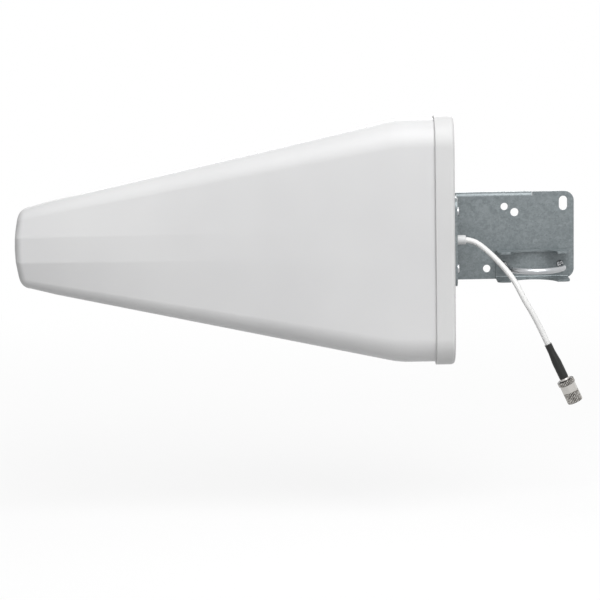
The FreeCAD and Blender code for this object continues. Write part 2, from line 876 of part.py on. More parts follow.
def retaining_ring():
    """Split ring in the body's groove, which keeps the nut on the plug."""
    start = nut_start + nut_wall_behind_ring + 2 * ring_gap
    inside = shoulder_radius - ring_depth + insulator_fit
    outside = inside + ring_stand
    ring = turned([(inside, 0), (outside, 0), (outside, ring_width), (inside, ring_width)],
                  V(0, 0, 0), V(0, 0, 1))
    ring = ring.cut(block(0, 2 * shoulder_radius, -ring_split / 2, ring_split / 2,
                          -overcut, ring_width + overcut))
    return along(ring, plug_origin + plug_axis * start, plug_axis)


def coupling_nut():
    """Knurled nut: wide back collar, flats in the middle and a knurled front."""
    end = nut_start + nut_total
    flats_start = nut_start + nut_back_length
    front_start = flats_start + nut_flat_length
    chamfer = nut_chamfer
    body = turned([(0, nut_start), (nut_back_radius - chamfer, nut_start),
                   (nut_back_radius, nut_start + chamfer), (nut_back_radius, flats_start - chamfer),
                   (nut_radius, flats_start), (nut_radius, end - chamfer),
                   (nut_radius - chamfer, end), (0, end)], V(0, 0, 0), V(0, 0, 1))
    across = nut_back_radius * 2
    sleeve = hexagon(nut_flats_across, nut_flat_length)
    sleeve.translate(V(0, 0, flats_start))
    band = Part.makeCylinder(across, nut_flat_length, V(0, 0, flats_start)).cut(sleeve)
    body = body.cut(band)
    for i in range(knurl_ridges):
        angle = 360.0 * i / knurl_ridges
        body = body.cut(knurl_groove(nut_back_radius, nut_start - overcut, flats_start, angle))
        body = body.cut(knurl_groove(nut_radius, front_start, end + overcut, angle))
    running_bore = shoulder_radius + nut_running_clearance
    ring_start = nut_start + nut_wall_behind_ring
    body = body.cut(Part.makeCylinder(running_bore, nut_total, V(0, 0, nut_start - overcut)))
    body = body.cut(Part.makeCylinder(nut_thread_radius, nut_total, V(0, 0, ring_start)))
    return along(body, plug_origin, plug_axis)


def knurl_groove(radius, start, end, angle):
    """Three-sided groove along the nut at an angle round it."""
    reach = math.pi * radius / knurl_ridges
    points = [V(radius - knurl_depth, 0, start), V(radius + knurl_depth, reach, start),
              V(radius + knurl_depth, -reach, start)]
    groove = Part.Face(outline(points)).extrude(V(0, 0, end - start))
    groove.rotate(V(0, 0, 0), V(0, 0, 1), angle)
    return groove


# Export

os.makedirs("parts", exist_ok=True)

save("radome", radome())
save("rear_cap", rear_cap())
save("cap_gasket", cap_gasket())
save("threaded_inserts", threaded_inserts())
save("near_boom", boom(-1, boom_front_x + near_boom_setback))
save("far_boom", boom(1, boom_front_x))
for i in range(rod_stations):
    save("near_rod_%02d" % (i + 1), element(-1, i))
    save("far_rod_%02d" % (i + 1), element(1, i))
save("rear_spacer", spacer(0))
save("middle_spacer", spacer(3))
save("front_spacer", spacer(6))
save("shorting_block", shorting_block())
save("feed_strap", feed_strap())
save("inner_coax", inner_coax())
save("nose_support", nose_support())
save("rear_support", rear_support())
save("bracket", bracket())
save("bracket_screws", bracket_screws())
save("bracket_washers", bracket_washers())
save("saddle", saddle())
save("u_bolt", u_bolt())
clamp_washers, clamp_springs, clamp_nuts = clamp_hardware()
save("u_bolt_washers", clamp_washers)
save("u_bolt_spring_washers", clamp_springs)
save("u_bolt_nuts", clamp_nuts)
save("cable_gland", cable_gland())
save("gland_nut", gland_nut())
save("cable", swept("cable", cable_route, cable_radius))
save("heat_shrink", heat_shrink())
save("crimp_ferrule", crimp_ferrule())
save("plug_body", plug_body())
save("plug_insulator", plug_insulator())
save("plug_pin", plug_pin())
save("plug_gasket", plug_gasket())
save("retaining_ring", retaining_ring())
save("coupling_nut", coupling_nut())
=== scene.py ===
import json
import math
import bmesh
import bpy
from mathutils import Matrix, Vector


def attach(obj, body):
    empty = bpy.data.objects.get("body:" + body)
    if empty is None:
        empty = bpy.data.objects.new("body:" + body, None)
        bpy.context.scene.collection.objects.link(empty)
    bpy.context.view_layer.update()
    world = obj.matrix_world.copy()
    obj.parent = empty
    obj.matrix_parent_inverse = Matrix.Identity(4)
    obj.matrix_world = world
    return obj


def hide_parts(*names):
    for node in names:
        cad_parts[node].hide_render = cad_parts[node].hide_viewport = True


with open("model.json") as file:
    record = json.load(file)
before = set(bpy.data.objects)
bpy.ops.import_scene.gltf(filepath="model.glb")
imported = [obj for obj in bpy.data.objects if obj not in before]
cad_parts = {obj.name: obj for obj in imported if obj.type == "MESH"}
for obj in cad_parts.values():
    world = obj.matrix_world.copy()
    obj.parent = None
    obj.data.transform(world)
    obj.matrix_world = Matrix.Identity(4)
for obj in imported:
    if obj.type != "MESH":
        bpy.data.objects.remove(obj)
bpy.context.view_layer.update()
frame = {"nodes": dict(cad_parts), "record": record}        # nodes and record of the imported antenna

# Log-periodic antenna with its bracket and clamp: metres, antenna along -X, clamp's axis at the origin.

mm = 0.001
axisHeight = 30 * mm     # height of the antenna's axis above the clamp's plane
facing = 0.9             # share of a face's normal along X from which it counts as facing that way
longEdge = 5 * mm        # an edge that runs farther than this along X is one of a shell's long corners

# Camera, fitted to the picture's angle

cameraSet = {
    "pitch": 8.64,
    "yaw": 0.47,
    "roll": 1.10,
    "distance": 2147.65 * mm,
    "target": (-239.56 * mm, 0.0, -28.89 * mm),
    "focal": 126.14,
    "sensor": 36.0,
    "nearest": 0.05,
}


def setCamera():
    pitch, yaw, roll = (math.radians(cameraSet[k]) for k in ("pitch", "yaw", "roll"))
    back = Vector((math.sin(yaw) * math.cos(pitch), -math.cos(yaw) * math.cos(pitch), math.sin(pitch)))
    level = Vector((math.cos(yaw), math.sin(yaw), 0))
    upright = back.cross(level)
    right = level * math.cos(roll) - upright * math.sin(roll)
    up = level * math.sin(roll) + upright * math.cos(roll)
    turn = Matrix((right, up, back)).transposed()
    place = Vector(cameraSet["target"]) + back * cameraSet["distance"]
    bpy.ops.object.camera_add(location=place, rotation=turn.to_euler())
    camera = bpy.context.object
    camera.name = "viewCamera"
    camera.data.lens = cameraSet["focal"]
    camera.data.sensor_width = cameraSet["sensor"]
    camera.data.clip_start = cameraSet["nearest"]
    bpy.context.scene.camera = camera
    print("camera set")


setCamera()


# Shader maths: a wrapped socket adds its own Math nodes


class Wire:
    def __init__(self, shade, socket):
        self.shade = shade
        self.socket = socket

    def combine(self, operation, first, second):
        return self.shade.add("ShaderNodeMath", {"operation": operation}, {0: first, 1: second})

    def __add__(self, other):
        return self.combine("ADD", self, other)

    def __radd__(self, other):
        return self.combine("ADD", other, self)

    def __sub__(self, other):
        return self.combine("SUBTRACT", self, other)

    def __rsub__(self, other):
        return self.combine("SUBTRACT", other, self)

    def __mul__(self, other):
        return self.combine("MULTIPLY", self, other)

    def __rmul__(self, other):
        return self.combine("MULTIPLY", other, self)

    def above(self, level):
        return self.combine("GREATER_THAN", self, level)


class Shade:
    noiseRoughness = 0.55

    def __init__(self, name, tree=None):
        if tree is None:
            self.material = bpy.data.materials.new(name)
            self.material.use_nodes = True
            tree = self.material.node_tree
        self.tree = tree
        self.tree.nodes.clear()

    def add(self, kind, settings=None, sockets=None, output=0):
        node = self.tree.nodes.new(kind)
        for key, value in (settings or {}).items():
            setattr(node, key, value)
        for key, value in (sockets or {}).items():
            if isinstance(value, Wire):
                self.tree.links.new(value.socket, node.inputs[key])
            else:
                node.inputs[key].default_value = value
        return Wire(self, node.outputs[output]) if len(node.outputs) else node

    def objectPlace(self, scale):
        spot = self.add("ShaderNodeTexCoord", output="Object")
        return self.add("ShaderNodeMapping", {}, {"Vector": spot, "Scale": scale})

    def noise(self, size, detail, scale=(1, 1, 1)):
        spot = self.objectPlace(scale)
        return self.add("ShaderNodeTexNoise", {}, {"Vector": spot, "Scale": 1 / size, "Detail": detail,
                                                   "Roughness": self.noiseRoughness})

    def cells(self, size, scale=(1, 1, 1)):
        spot = self.objectPlace(scale)
        tint = self.add("ShaderNodeTexVoronoi", {"feature": "F1"}, {"Vector": spot, "Scale": 1 / size},
                        output="Color")
        return self.add("ShaderNodeSeparateColor", {}, {"Color": tint})

    def spread(self, value, low, high, start=0.0, end=1.0):
        return self.add("ShaderNodeMapRange", {}, {"Value": value, "From Min": low, "From Max": high,
                                                   "To Min": start, "To Max": end})

    def blend(self, factor, first, second):
        return self.add("ShaderNodeMix", {"data_type": "RGBA"}, {0: factor, 6: first, 7: second}, output=2)

    def bump(self, height, strength, distance, base=None):
        sockets = {"Height": height, "Strength": strength, "Distance": distance}
        if base is not None:
            sockets["Normal"] = base
        return self.add("ShaderNodeBump", {}, sockets)

    def finish(self, **sockets):
        names = {"colour": "Base Color", "roughness": "Roughness", "metallic": "Metallic", "normal": "Normal",
                 "ior": "IOR"}
        body = self.add("ShaderNodeBsdfPrincipled", {}, {names[k]: v for k, v in sockets.items()})
        self.add("ShaderNodeOutputMaterial", {}, {"Surface": body})
        return self.material


# Finishes: a size is the span of one patch of noise, a gloss is a share of the roughness

fineDepth = 0.1 * mm

shellFinish = {
    "cloudSize": 160 * mm,
    "cloudLow": 0.35,
    "cloudHigh": 0.65,
    "peelSize": 4.5 * mm,
    "waveSize": 50 * mm,
    "cloudGloss": 0.08,
    "peelGloss": 0.05,
    "peelBump": 0.035,
    "peelDepth": 0.4 * mm,
    "waveBump": 0.03,
    "waveDepth": 2 * mm,
    "ior": 1.3,
}


def whiteShell(name, dark, light, gloss):
    s = shellFinish
    shade = Shade(name)
    cloud = shade.noise(s["cloudSize"], detail=2.0)
    peel = shade.noise(s["peelSize"], detail=2.0)
    wave = shade.noise(s["waveSize"], detail=1.0)
    colour = shade.blend(shade.spread(cloud, s["cloudLow"], s["cloudHigh"]), dark, light)
    roughness = gloss + s["cloudGloss"] * (cloud - 0.5) + s["peelGloss"] * (peel - 0.5)
    softWave = shade.bump(wave, s["waveBump"], s["waveDepth"])
    normal = shade.bump(peel, s["peelBump"], s["peelDepth"], softWave)
    return shade.finish(colour=colour, roughness=roughness, normal=normal, ior=s["ior"])


galvanisedFinish = {
    "spangleSize": 4.6 * mm,
    "spangleShape": (1, 1, 1.25),
    "smallSpangleSize": 1.9 * mm,
    "driftSize": 35 * mm,
    "grainSize": 1.1 * mm,
    "level": 0.24,
    "spangleShare": 0.22,
    "smallSpangleShare": 0.3,
    "driftShare": 0.14,
    "grainShare": 0.6,
    "dark": (0.11, 0.131, 0.14, 1),
    "light": (0.265, 0.294, 0.303, 1),
    "metallic": 0.4,
    "gloss": 0.36,
    "spangleGloss": 0.12,
    "grainGloss": 0.1,
    "spangleBump": 0.05,
    "grainBump": 0.12,
    "depth": 0.2 * mm,
}


def galvanisedSheet(name):
    s = galvanisedFinish
    shade = Shade(name)
    spangle = shade.cells(s["spangleSize"], s["spangleShape"])
    smallSpangle = shade.cells(s["smallSpangleSize"])
    drift = shade.noise(s["driftSize"], detail=3.0)
    grain = shade.noise(s["grainSize"], detail=2.0)
    mask = s["spangleShare"] * spangle + s["smallSpangleShare"] * smallSpangle + s["level"]
    mask = mask + s["driftShare"] * (drift - 0.5) + s["grainShare"] * (grain - 0.5)
    colour = shade.blend(mask, s["dark"], s["light"])
    roughness = s["gloss"] + s["spangleGloss"] * spangle + s["grainGloss"] * (grain - 0.5)
    facets = shade.bump(spangle, s["spangleBump"], s["depth"])
    normal = shade.bump(grain, s["grainBump"], s["depth"], facets)
    return shade.finish(colour=colour, roughness=roughness, metallic=s["metallic"], normal=normal)


zincFinish = {
    "driftSize": 9 * mm,
    "grainSize": 0.7 * mm,
    "dark": (0.36, 0.375, 0.39, 1),
    "light": (0.56, 0.57, 0.58, 1),
    "gloss": 0.2,
    "driftGloss": 0.2,
    "grainGloss": 0.06,
    "bump": 0.08,
}
nickelFinish = {
    "driftSize": 6 * mm,
    "grainSize": 0.5 * mm,
    "dark": (0.46, 0.44, 0.42, 1),
    "light": (0.66, 0.645, 0.62, 1),
    "gloss": 0.12,
    "driftGloss": 0.14,
    "grainGloss": 0.0,
    "bump": 0.06,
}


def platedMetal(name, s):
    shade = Shade(name)
    drift = shade.noise(s["driftSize"], detail=3.0)
    grain = shade.noise(s["grainSize"], detail=2.0)
    colour = shade.blend(drift, s["dark"], s["light"])
    roughness = s["gloss"] + s["driftGloss"] * drift + s["grainGloss"] * (grain - 0.5)
    return shade.finish(colour=colour, roughness=roughness, metallic=1.0,
                        normal=shade.bump(grain, s["bump"], fineDepth))


# The nut's plating is darker in the grooves of its knurling, which are found from their depth below the rim: grime
# and painted shade. The knurl is mottled with painted highlights and painted shade
nutFinish = {
    "start": (17.3 * mm, -35.5 * mm, -89.5 * mm),    # end of the cable, where the plug's axis starts
    "axis": (0.4232, 0.0, -0.9061),
    "flatsFrom": 27.4 * mm,
    "flatsTo": 35.4 * mm,
    "collarRadius": 8.8 * mm,
    "bodyRadius": 8.0 * mm,
    "grooveFrom": 0.06 * mm,
    "grooveDepth": 0.34 * mm,
    # patches of painted highlight and painted shade on the knurl
    "paintedGlintSize": 1.4 * mm,
    "paintedGlintLow": 0.38,
    "paintedGlintHigh": 0.62,
    # dark and light tones of the knurl patches: painted shade and painted highlight
    "dark": (0.20, 0.187, 0.172, 1),
    "light": (0.62, 0.60, 0.57, 1),
    # near black in the grooves: grime and painted shade
    "grimeAndPaintedShade": (0.02, 0.018, 0.016, 1),
    "polished": (0.56, 0.545, 0.52, 1),
    "gloss": 0.14,
    "driftGloss": 0.14,
    "grooveGloss": 0.3,
}


def knurledNickel(name):
    s = nutFinish
    shade = Shade(name)

    def vectorMath(operation, first, second, output=0):
        sockets = {0: first, 1: second}
        return shade.add("ShaderNodeVectorMath", {"operation": operation}, sockets, output)

    spot = shade.add("ShaderNodeTexCoord", output="Object")
    arm = vectorMath("SUBTRACT", spot, s["start"])
    along = vectorMath("DOT_PRODUCT", arm, s["axis"], "Value")
    across = vectorMath("CROSS_PRODUCT", arm, s["axis"])
    radius = shade.add("ShaderNodeVectorMath", {"operation": "LENGTH"}, {0: across}, output="Value")
    onCollar = 1 - along.above(s["flatsFrom"])
    onFlats = along.above(s["flatsFrom"]) * (1 - along.above(s["flatsTo"]))
    full = s["bodyRadius"] + (s["collarRadius"] - s["bodyRadius"]) * onCollar
    groove = shade.spread(full - radius, s["grooveFrom"], s["grooveDepth"]) * (1 - onFlats)
    drift = shade.noise(nickelFinish["driftSize"], detail=3.0)
    grain = shade.noise(nickelFinish["grainSize"], detail=2.0)
    # lighter and darker knurl patches: painted highlights and painted shade
    facets = shade.spread(shade.noise(s["paintedGlintSize"], detail=1.0), s["paintedGlintLow"], s["paintedGlintHigh"])
    plate = shade.blend(onFlats, shade.blend(facets, s["dark"], s["light"]), s["polished"])
    # grooves are darkened by their depth: grime and painted shade
    colour = shade.blend(groove, plate, s["grimeAndPaintedShade"])
    roughness = s["gloss"] + s["driftGloss"] * drift + s["grooveGloss"] * groove
    return shade.finish(colour=colour, roughness=roughness, metallic=1.0,
                        normal=shade.bump(grain, nickelFinish["bump"], fineDepth))


plasticFinish = {
    "driftSize": 20 * mm,
    "grainSize": 0.8 * mm,
    "grainGloss": 0.12,
}


def plainPlastic(name, dark, light, gloss, bump=0.08):
    s = plasticFinish
    shade = Shade(name)
    drift = shade.noise(s["driftSize"], detail=3.0)
    grain = shade.noise(s["grainSize"], detail=3.0)
    colour = shade.blend(drift, dark, light)
    roughness = gloss + s["grainGloss"] * (grain - 0.5)
    return shade.finish(colour=colour, roughness=roughness, normal=shade.bump(grain, bump, fineDepth))


shrinkFinish = {
    "driftSize": 6 * mm,
    "creaseSize": 3.5 * mm,
    "creaseShape": (1, 1, 0.35),
    "dark": (0.006, 0.0065, 0.006, 1),
    "light": (0.02, 0.021, 0.0195, 1),
    "gloss": 0.38,
    "driftGloss": 0.2,
    "creaseBump": 0.25,
    "creaseDepth": 0.5 * mm,
    "ior": 1.42,
}


def heatShrinkBlack(name):
    s = shrinkFinish
    shade = Shade(name)
    drift = shade.noise(s["driftSize"], detail=3.0)
    crease = shade.noise(s["creaseSize"], detail=4.0, scale=s["creaseShape"])
    colour = shade.blend(drift, s["dark"], s["light"])
    roughness = s["gloss"] + s["driftGloss"] * (drift - 0.5)
    return shade.finish(colour=colour, roughness=roughness, ior=s["ior"],
                        normal=shade.bump(crease, s["creaseBump"], s["creaseDepth"]))


drawnFinish = {
    "streakSize": 4 * mm,
    "streakShape": (0.06, 1, 1),
    "streakGloss": 0.15,
    "bump": 0.05,
}


def drawnMetal(name, dark, light, gloss):
    s = drawnFinish
    shade = Shade(name)
    streak = shade.noise(s["streakSize"], detail=3.0, scale=s["streakShape"])
    colour = shade.blend(streak, dark, light)
    roughness = gloss + s["streakGloss"] * (streak - 0.5)
    return shade.finish(colour=colour, roughness=roughness, metallic=1.0,
                        normal=shade.bump(streak, s["bump"], fineDepth))


# dark tone, light tone and roughness of each material
radomeWhite = whiteShell("radomeWhite", (0.655, 0.655, 0.66, 1), (0.70, 0.70, 0.702, 1), 0.36)
capWhite = whiteShell("capWhite", (0.625, 0.625, 0.626, 1), (0.675, 0.675, 0.674, 1), 0.42)
galvanised = galvanisedSheet("galvanised")
zinc = platedMetal("zinc", zincFinish)
nickel = platedMetal("nickel", nickelFinish)
nutNickel = knurledNickel("nutNickel")
jacketWhite = plainPlastic("jacketWhite", (0.745, 0.745, 0.735, 1), (0.815, 0.815, 0.81, 1), 0.42, bump=0.02)
glandWhite = plainPlastic("glandWhite", (0.61, 0.615, 0.615, 1), (0.69, 0.695, 0.70, 1), 0.45)
shrinkBlack = heatShrinkBlack("shrinkBlack")
sealBlack = plainPlastic("sealBlack", (0.018, 0.018, 0.018, 1), (0.04, 0.04, 0.04, 1), 0.6)
naturalPlastic = plainPlastic("naturalPlastic", (0.66, 0.66, 0.62, 1), (0.76, 0.76, 0.73, 1), 0.5)
whiteInsulator = plainPlastic("whiteInsulator", (0.78, 0.78, 0.76, 1), (0.86, 0.86, 0.85, 1), 0.35)
aluminium = drawnMetal("aluminium", (0.58, 0.59, 0.60, 1), (0.76, 0.77, 0.78, 1), 0.35)
brass = drawnMetal("brass", (0.52, 0.37, 0.14, 1), (0.72, 0.54, 0.24, 1), 0.3)
gold = drawnMetal("gold", (0.70, 0.48, 0.16, 1), (0.88, 0.66, 0.28, 1), 0.2)
springSteel = drawnMetal("springSteel", (0.36, 0.36, 0.37, 1), (0.52, 0.52, 0.53, 1), 0.3)
print("finishes made")


# Modelling helpers


def deselectAll():
    if bpy.context.object and bpy.context.object.mode != "OBJECT":
        bpy.ops.object.mode_set(mode="OBJECT")
    bpy.ops.object.select_all(action="DESELECT")


def makeActive(piece):
    deselectAll()
    piece.select_set(True)
    bpy.context.view_layer.objects.active = piece


def startEdit(piece, mode="FACE"):
    makeActive(piece)
    bpy.ops.object.mode_set(mode="EDIT")
    bpy.ops.mesh.select_mode(type=mode)
    bpy.ops.mesh.select_all(action="DESELECT")


def endEdit():
    bpy.ops.object.mode_set(mode="OBJECT")


def pick(piece, kind, test):
    form = bmesh.from_edit_mesh(piece.data)
    bpy.ops.mesh.select_mode(type=kind)
    bpy.ops.mesh.select_all(action="DESELECT")
    for item in {"FACE": form.faces, "EDGE": form.edges, "VERT": form.verts}[kind]:
        item.select = test(item)
    bmesh.update_edit_mesh(piece.data)


def addBlock(name, low, high):
    deselectAll()
    middle = [(a + b) / 2 for a, b in zip(low, high)]
    bpy.ops.mesh.primitive_cube_add(size=1, location=middle)
    piece = bpy.context.object
    piece.name = name
    piece.scale = [b - a for a, b in zip(low, high)]
    bpy.ops.object.transform_apply(location=True, rotation=True, scale=True)
    return piece


flatFaceWeight = 80      # how strongly large faces keep their own shading


def applyModifier(piece, kind, **settings):
    makeActive(piece)
    modifier = piece.modifiers.new(kind.title(), kind)
    for key, value in settings.items():
        setattr(modifier, key, value)
    bpy.ops.object.modifier_apply(modifier=modifier.name)


def smooth(piece, angle):
    makeActive(piece)
    bpy.ops.object.shade_smooth_by_angle(angle=math.radians(angle), keep_sharp_edges=False)
    applyModifier(piece, "WEIGHTED_NORMAL", keep_sharp=True, weight=flatFaceWeight)


def dress(piece, material):
    piece.data.materials.clear()
    piece.data.materials.append(material)


def standIn(piece, node, material, slot):
    dress(piece, material)
    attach(piece, bodyOf(node))
    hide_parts(node)


def bodyOf(node):
    return "coupling_nut" if node == "coupling_nut" else "antenna"


def slotOf(node):
    for row in frame["record"]["subparts"]:
        if row["node"] == node:
            return row["material_slot"]


def near(value, target, reach=0.05 * mm):
    return abs(value - target) < reach


# Radome: straight shell first, then its front ring is drawn in to the nose

radomeSet = {
    "rimX": -87 * mm,
    "kneeX": -139 * mm,
    "tipX": -526.6 * mm,
    "baseHalfHeight": 124.25 * mm,
    "baseHalfThickness": 29.75 * mm,
    "baseStrip": 15 * mm,
    "baseCorner": 27.75 * mm,
    "tipHalfHeight": 39.3 * mm,
    "tipHalfThickness": 24.5 * mm,
    "tipShoulder": 17.4 * mm,
    "tipStrip": 12.7 * mm,
    "tipCorner": 15 * mm,
    "cornerSegments": 12,
    "kneeSoftness": 9 * mm,
    "kneeSegments": 5,
    "stripSoftness": 1.3 * mm,
    "stripSegments": 3,
    "stripReach": 0.3 * mm,        # how far an edge of a strip may stand off its height
    "sideReach": 0.5 * mm,         # how far it may stand in from the side
    "stripEdge": 1 * mm,           # how far it has to run along X
    "rings": 12,
    "noseEdge": 8 * mm,
    "noseSteps": 6,
    "noseRows": 4,
    "noseRowHeight": 6.1 * mm,
    "noseReach": 0.1 * mm,         # how far behind the rounded edge its points are still bowed
    "noseBow": 165 * mm,
    "wall": 2.5 * mm,
    "smoothAngle": 40,
}


def makeRadome():
    s = radomeSet
    frontX = s["tipX"] + s["noseEdge"]
    piece = addBlock("radomeShell", (s["kneeX"], -s["baseHalfThickness"], axisHeight - s["baseHalfHeight"]),
                     (s["rimX"], s["baseHalfThickness"], axisHeight + s["baseHalfHeight"]))
    startEdit(piece)
    for side in (-1, 1):
        bpy.ops.mesh.select_all(action="SELECT")
        bpy.ops.mesh.bisect(plane_co=(0, 0, axisHeight + side * s["baseStrip"]), plane_no=(0, 0, 1))
    pick(piece, "FACE", facesFront)
    bpy.ops.mesh.extrude_region_move(TRANSFORM_OT_translate={"value": (frontX - s["kneeX"], 0, 0)})
    bpy.ops.mesh.select_all(action="SELECT")
    bpy.ops.mesh.normals_make_consistent(inside=False)
    pick(piece, "EDGE", lambda edge: isLong(edge) and all(atCorner(vert.co) for vert in edge.verts))
    bpy.ops.mesh.bevel(offset=s["baseCorner"], segments=s["cornerSegments"], affect="EDGES", profile=0.5)
    drawInFront(piece, frontX)
    for ring in range(1, s["rings"]):
        bpy.ops.mesh.select_all(action="SELECT")
        ringX = frontX + (s["kneeX"] - frontX) * ring / s["rings"]
        bpy.ops.mesh.bisect(plane_co=(ringX, 0, axisHeight), plane_no=(1, 0, 0))
    roundKnee(piece)
    roundNose(piece)
    pick(piece, "FACE", lambda face: face.normal.x > facing and near(face.calc_center_median().x, s["rimX"]))
    bpy.ops.mesh.delete(type="FACE")
    endEdit()
    applyModifier(piece, "SOLIDIFY", thickness=s["wall"], offset=-1, use_even_offset=True)
    smooth(piece, s["smoothAngle"])
    standIn(piece, "radome", radomeWhite, "radome_shell")
    print("radome made")


def facesFront(face):
    return face.normal.x < -facing


def runsAlong(edge, length):
    start, end = (vert.co for vert in edge.verts)
    return abs(start.x - end.x) > length


def isLong(edge):
    return runsAlong(edge, longEdge)


def atCorner(spot):
    s = radomeSet
    return near(abs(spot.y), s["baseHalfThickness"]) and near(abs(spot.z - axisHeight), s["baseHalfHeight"])


def drawInFront(piece, frontX):
    s = radomeSet
    share = s["noseEdge"] / (s["kneeX"] - s["tipX"])
    frontHeight = s["tipHalfHeight"] + share * (s["baseHalfHeight"] - s["tipHalfHeight"])
    tilt = math.atan((s["tipHalfThickness"] - s["tipShoulder"]) / (s["tipHalfHeight"] - s["tipStrip"]))
    middleUp = frontHeight - s["tipCorner"]
    lean = (middleUp - s["tipStrip"]) * math.sin(tilt)
    middleOut = s["tipHalfThickness"] - (s["tipCorner"] + lean) / math.cos(tilt)
    form = bmesh.from_edit_mesh(piece.data)
    for vert in form.verts:
        if not near(vert.co.x, frontX):
            continue
        out, rise = abs(vert.co.y), abs(vert.co.z - axisHeight)
        side, up = math.copysign(1, vert.co.y), math.copysign(1, vert.co.z - axisHeight)
        if near(rise, s["baseStrip"]):
            newOut, newRise = s["tipHalfThickness"], s["tipStrip"]
        else:
            # the quarter turn of the base corner becomes a turn that starts along the leaning face
            turn = math.atan2(rise - s["baseHalfHeight"] + s["baseCorner"],
                              out - s["baseHalfThickness"] + s["baseCorner"])
            turn = tilt + turn * (1 - tilt / math.radians(90))
            newOut = middleOut + s["tipCorner"] * math.cos(turn)
            newRise = middleUp + s["tipCorner"] * math.sin(turn)
        vert.co.y = side * newOut
        vert.co.z = axisHeight + up * newRise
    bmesh.update_edit_mesh(piece.data)


def roundKnee(piece):
    s = radomeSet
    low = min(s["tipStrip"], s["baseStrip"]) - s["stripReach"]
    high = max(s["tipStrip"], s["baseStrip"]) + s["stripReach"]

    def onKnee(edge):
        return all(near(vert.co.x, s["kneeX"]) for vert in edge.verts)

    def onStrip(edge):
        level = all(low < abs(vert.co.z - axisHeight) < high for vert in edge.verts)
        outside = all(abs(vert.co.y) > s["tipHalfThickness"] - s["sideReach"] for vert in edge.verts)
        return level and outside and runsAlong(edge, s["stripEdge"])

    pick(piece, "EDGE", onKnee)
    bpy.ops.mesh.bevel(offset=s["kneeSoftness"], segments=s["kneeSegments"], affect="EDGES", profile=0.5)
    pick(piece, "EDGE", onStrip)
    bpy.ops.mesh.bevel(offset=s["stripSoftness"], segments=s["stripSegments"], affect="EDGES", profile=0.5)


def roundNose(piece):
    s = radomeSet
    pick(piece, "FACE", facesFront)
    bpy.ops.mesh.dissolve_faces()
    pick(piece, "FACE", facesFront)
    steps = s["noseSteps"]
    for step in range(1, steps + 1):
        before = math.radians(90 * (step - 1) / steps)
        after = math.radians(90 * step / steps)
        thickness = s["noseEdge"] * (math.cos(before) - math.cos(after))
        depth = s["noseEdge"] * (math.sin(after) - math.sin(before))
        bpy.ops.mesh.inset(thickness=thickness, depth=depth, use_even_offset=True)
    for row in range(-s["noseRows"], s["noseRows"] + 1):
        pick(piece, "FACE", lambda face: facesFront(face) and near(face.calc_center_median().x, s["tipX"]))
        rowHeight = axisHeight + row * s["noseRowHeight"]
        bpy.ops.mesh.bisect(plane_co=(0, 0, rowHeight), plane_no=(0, 0, 1))
    form = bmesh.from_edit_mesh(piece.data)
    for vert in form.verts:
        if vert.co.x < s["tipX"] + s["noseEdge"] + s["noseReach"]:
            rise = vert.co.z - axisHeight
            vert.co.x += s["noseBow"] - math.sqrt(s["noseBow"] ** 2 - rise ** 2)
    bmesh.update_edit_mesh(piece.data)


makeRadome()


# Rear cap: a shallow tray whose rim laps over the radome

capSet = {
    "low": (-102 * mm, -33 * mm, -97.5 * mm),
    "high": (-82.5 * mm, 33 * mm, 157.5 * mm),
    "corner": 31 * mm,
    "cornerSegments": 16,
    "rearEdge": 4 * mm,
    "rearSegments": 6,
    "frontEdge": 0.9 * mm,
    "frontSegments": 3,
    "wall": 3 * mm,
    "floor": 3 * mm,
    "smoothAngle": 40,
}


def makeRearCap():
    s = capSet
    frontX, rearX = s["low"][0], s["high"][0]

    def roundOff(test, radius, segments):
        pick(piece, "EDGE", test)
        bpy.ops.mesh.bevel(offset=radius, segments=segments, affect="EDGES", profile=0.5)

    piece = addBlock("rearCapShell", s["low"], s["high"])
    startEdit(piece)
    roundOff(isLong, s["corner"], s["cornerSegments"])
    roundOff(lambda edge: all(near(vert.co.x, rearX) for vert in edge.verts), s["rearEdge"],
             s["rearSegments"])
    pick(piece, "FACE", facesFront)
    bpy.ops.mesh.inset(thickness=s["wall"], depth=0, use_even_offset=True)
    bpy.ops.mesh.extrude_region_move(TRANSFORM_OT_translate={"value": (rearX - frontX - s["floor"], 0, 0)})
    roundOff(lambda edge: all(near(vert.co.x, frontX) for vert in edge.verts), s["frontEdge"],
             s["frontSegments"])
    endEdit()
    smooth(piece, s["smoothAngle"])
    standIn(piece, "rear_cap", capWhite, "cap_shell")
    print("rear cap made")


makeRearCap()


# Sheet metal, hardware and plug: the frame's own forms with their edges eased

easedSet = {
    "mergeDistance": 0.002 * mm,
    "flatAngle": 0.6,
    "bevelAngle": 30,
    "segments": 2,
    "smoothAngle": 32,
}


def easedCopy(node, name, material, width):
    s = easedSet
    deselectAll()
    source = frame["nodes"][node]
    piece = source.copy()
    piece.data = source.data.copy()
    piece.name = name
    for key in list(piece.keys()):
        del piece[key]
    piece.parent = None
    bpy.context.scene.collection.objects.link(piece)
    startEdit(piece)
    bpy.ops.mesh.select_all(action="SELECT")
    bpy.ops.mesh.remove_doubles(threshold=s["mergeDistance"])
    bpy.ops.mesh.dissolve_limited(angle_limit=math.radians(s["flatAngle"]), use_dissolve_boundaries=False)
    endEdit()
    applyModifier(piece, "BEVEL", width=width, segments=s["segments"], limit_method="ANGLE",
                  angle_limit=math.radians(s["bevelAngle"]), use_clamp_overlap=True)
    smooth(piece, s["smoothAngle"])
    standIn(piece, node, material, slotOf(node))
    return piece


def turnAboutAxis(piece, spot, axis, angle):
    toSpot = Matrix.Translation(spot)
    makeActive(piece)
    piece.matrix_world = toSpot @ Matrix.Rotation(angle, 4, Vector(axis)) @ toSpot.inverted()
    bpy.ops.object.transform_apply(location=True, rotation=True, scale=True)


